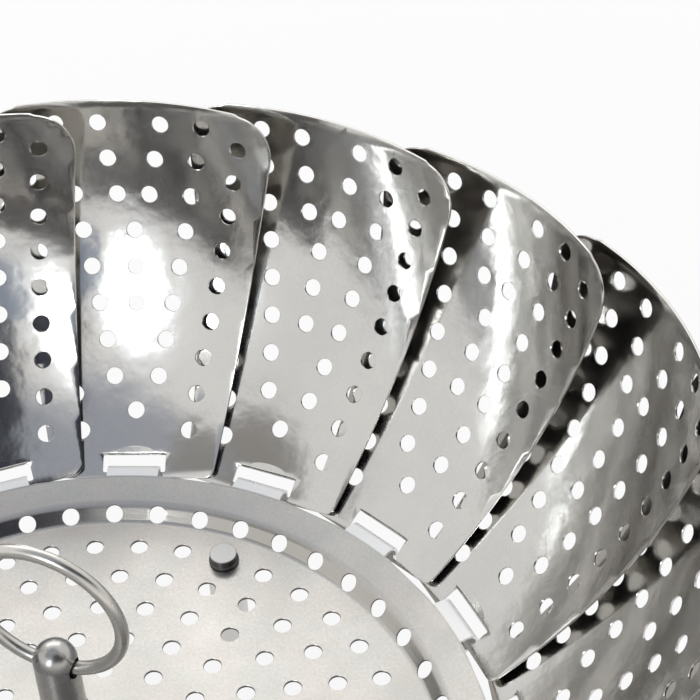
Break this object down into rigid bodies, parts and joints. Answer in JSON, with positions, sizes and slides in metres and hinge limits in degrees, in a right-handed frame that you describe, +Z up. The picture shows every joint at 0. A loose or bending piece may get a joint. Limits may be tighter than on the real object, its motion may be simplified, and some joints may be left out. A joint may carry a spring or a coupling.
{
  "type": "folding steamer basket",
  "caption": "Perforated steel steamer basket on peg feet, with hinged petals that fold in over a round base and a lift ring on a centre post.",
  "frame": {"origin": "on the basket's axis, at the level that its feet stand on", "axes": "+Z up along the basket's axis; a peg foot lies 60 degrees from +X towards +Y, and petal_01 lies along +X with the others after it every 20 degrees towards +Y"},
  "size_m": [0.2192, 0.22, 0.0788],
  "materials": {
    "petal_steel": "polished",
    "base_steel": "satin, finely brushed",
    "rod_steel": "turned, bright",
    "wire_steel": "polished wire"
  },
  "bodies": {
    "base": {"base_plate": "base_steel", "peg_foot_1": "rod_steel", "peg_foot_2": "rod_steel", "peg_foot_3": "rod_steel", "centre_post": "rod_steel", "post_nut": "rod_steel"},
    "petal_01": {"petal_01": "petal_steel"},
    "petal_02": {"petal_02": "petal_steel"},
    "petal_03": {"petal_03": "petal_steel"},
    "petal_04": {"petal_04": "petal_steel"},
    "petal_05": {"petal_05": "petal_steel"},
    "petal_06": {"petal_06": "petal_steel"},
    "petal_07": {"petal_07": "petal_steel"},
    "petal_08": {"petal_08": "petal_steel"},
    "petal_09": {"petal_09": "petal_steel"},
    "petal_10": {"petal_10": "petal_steel"},
    "petal_11": {"petal_11": "petal_steel"},
    "petal_12": {"petal_12": "petal_steel"},
    "petal_13": {"petal_13": "petal_steel"},
    "petal_14": {"petal_14": "petal_steel"},
    "petal_15": {"petal_15": "petal_steel"},
    "petal_16": {"petal_16": "petal_steel"},
    "petal_17": {"petal_17": "petal_steel"},
    "petal_18": {"petal_18": "petal_steel"},
    "lift_ring": {"lift_ring": "wire_steel"}
  },
  "joints": [
    {"name": "petal_01_hinge", "type": "hinge", "parent": "base", "child": "petal_01", "pos_m": [0.0688, 0, 0.02125], "axis": [0, -1, 0], "range_deg": [0, 75]},
    {"name": "petal_02_hinge", "type": "hinge", "parent": "base", "child": "petal_02", "pos_m": [0.06465, 0.02353, 0.02125], "axis": [0.342, -0.9397, 0], "range_deg": [0, 75]},
    {"name": "petal_03_hinge", "type": "hinge", "parent": "base", "child": "petal_03", "pos_m": [0.0527, 0.04422, 0.02125], "axis": [0.6428, -0.766, 0], "range_deg": [0, 75]},
    {"name": "petal_04_hinge", "type": "hinge", "parent": "base", "child": "petal_04", "pos_m": [0.0344, 0.05958, 0.02125], "axis": [0.866, -0.5, 0], "range_deg": [0, 75]},
    {"name": "petal_05_hinge", "type": "hinge", "parent": "base", "child": "petal_05", "pos_m": [0.01195, 0.06775, 0.02125], "axis": [0.9848, -0.1736, 0], "range_deg": [0, 75]},
    {"name": "petal_06_hinge", "type": "hinge", "parent": "base", "child": "petal_06", "pos_m": [-0.01195, 0.06775, 0.02125], "axis": [0.9848, 0.1736, 0], "range_deg": [0, 75]},
    {"name": "petal_07_hinge", "type": "hinge", "parent": "base", "child": "petal_07", "pos_m": [-0.0344, 0.05958, 0.02125], "axis": [0.866, 0.5, 0], "range_deg": [0, 75]},
    {"name": "petal_08_hinge", "type": "hinge", "parent": "base", "child": "petal_08", "pos_m": [-0.0527, 0.04422, 0.02125], "axis": [0.6428, 0.766, 0], "range_deg": [0, 75]},
    {"name": "petal_09_hinge", "type": "hinge", "parent": "base", "child": "petal_09", "pos_m": [-0.06465, 0.02353, 0.02125], "axis": [0.342, 0.9397, 0], "range_deg": [0, 75]},
    {"name": "petal_10_hinge", "type": "hinge", "parent": "base", "child": "petal_10", "pos_m": [-0.0688, 0, 0.02125], "axis": [0, 1, 0], "range_deg": [0, 75]},
    {"name": "petal_11_hinge", "type": "hinge", "parent": "base", "child": "petal_11", "pos_m": [-0.06465, -0.02353, 0.02125], "axis": [-0.342, 0.9397, 0], "range_deg": [0, 75]},
    {"name": "petal_12_hinge", "type": "hinge", "parent": "base", "child": "petal_12", "pos_m": [-0.0527, -0.04422, 0.02125], "axis": [-0.6428, 0.766, 0], "range_deg": [0, 75]},
    {"name": "petal_13_hinge", "type": "hinge", "parent": "base", "child": "petal_13", "pos_m": [-0.0344, -0.05958, 0.02125], "axis": [-0.866, 0.5, 0], "range_deg": [0, 75]},
    {"name": "petal_14_hinge", "type": "hinge", "parent": "base", "child": "petal_14", "pos_m": [-0.01195, -0.06775, 0.02125], "axis": [-0.9848, 0.1736, 0], "range_deg": [0, 75]},
    {"name": "petal_15_hinge", "type": "hinge", "parent": "base", "child": "petal_15", "pos_m": [0.01195, -0.06775, 0.02125], "axis": [-0.9848, -0.1736, 0], "range_deg": [0, 75]},
    {"name": "petal_16_hinge", "type": "hinge", "parent": "base", "child": "petal_16", "pos_m": [0.0344, -0.05958, 0.02125], "axis": [-0.866, -0.5, 0], "range_deg": [0, 75]},
    {"name": "petal_17_hinge", "type": "hinge", "parent": "base", "child": "petal_17", "pos_m": [0.0527, -0.04422, 0.02125], "axis": [-0.6428, -0.766, 0], "range_deg": [0, 75]},
    {"name": "petal_18_hinge", "type": "hinge", "parent": "base", "child": "petal_18", "pos_m": [0.06465, -0.02353, 0.02125], "axis": [-0.342, -0.9397, 0], "range_deg": [0, 75]},
    {"name": "ring_swing", "type": "hinge", "parent": "base", "child": "lift_ring", "pos_m": [0, 0, 0.0527], "axis": [0.891, -0.454, 0], "range_deg": [-165, 165]}
  ],
  "couplings": [
    {"joint": "petal_02_hinge", "follows": "petal_01_hinge", "ratio": 1},
    {"joint": "petal_03_hinge", "follows": "petal_01_hinge", "ratio": 1},
    {"joint": "petal_04_hinge", "follows": "petal_01_hinge", "ratio": 1},
    {"joint": "petal_05_hinge", "follows": "petal_01_hinge", "ratio": 1},
    {"joint": "petal_06_hinge", "follows": "petal_01_hinge", "ratio": 1},
    {"joint": "petal_07_hinge", "follows": "petal_01_hinge", "ratio": 1},
    {"joint": "petal_08_hinge", "follows": "petal_01_hinge", "ratio": 1},
    {"joint": "petal_09_hinge", "follows": "petal_01_hinge", "ratio": 1},
    {"joint": "petal_10_hinge", "follows": "petal_01_hinge", "ratio": 1},
    {"joint": "petal_11_hinge", "follows": "petal_01_hinge", "ratio": 1},
    {"joint": "petal_12_hinge", "follows": "petal_01_hinge", "ratio": 1},
    {"joint": "petal_13_hinge", "follows": "petal_01_hinge", "ratio": 1},
    {"joint": "petal_14_hinge", "follows": "petal_01_hinge", "ratio": 1},
    {"joint": "petal_15_hinge", "follows": "petal_01_hinge", "ratio": 1},
    {"joint": "petal_16_hinge", "follows": "petal_01_hinge", "ratio": 1},
    {"joint": "petal_17_hinge", "follows": "petal_01_hinge", "ratio": 1},
    {"joint": "petal_18_hinge", "follows": "petal_01_hinge", "ratio": 1}
  ]
}
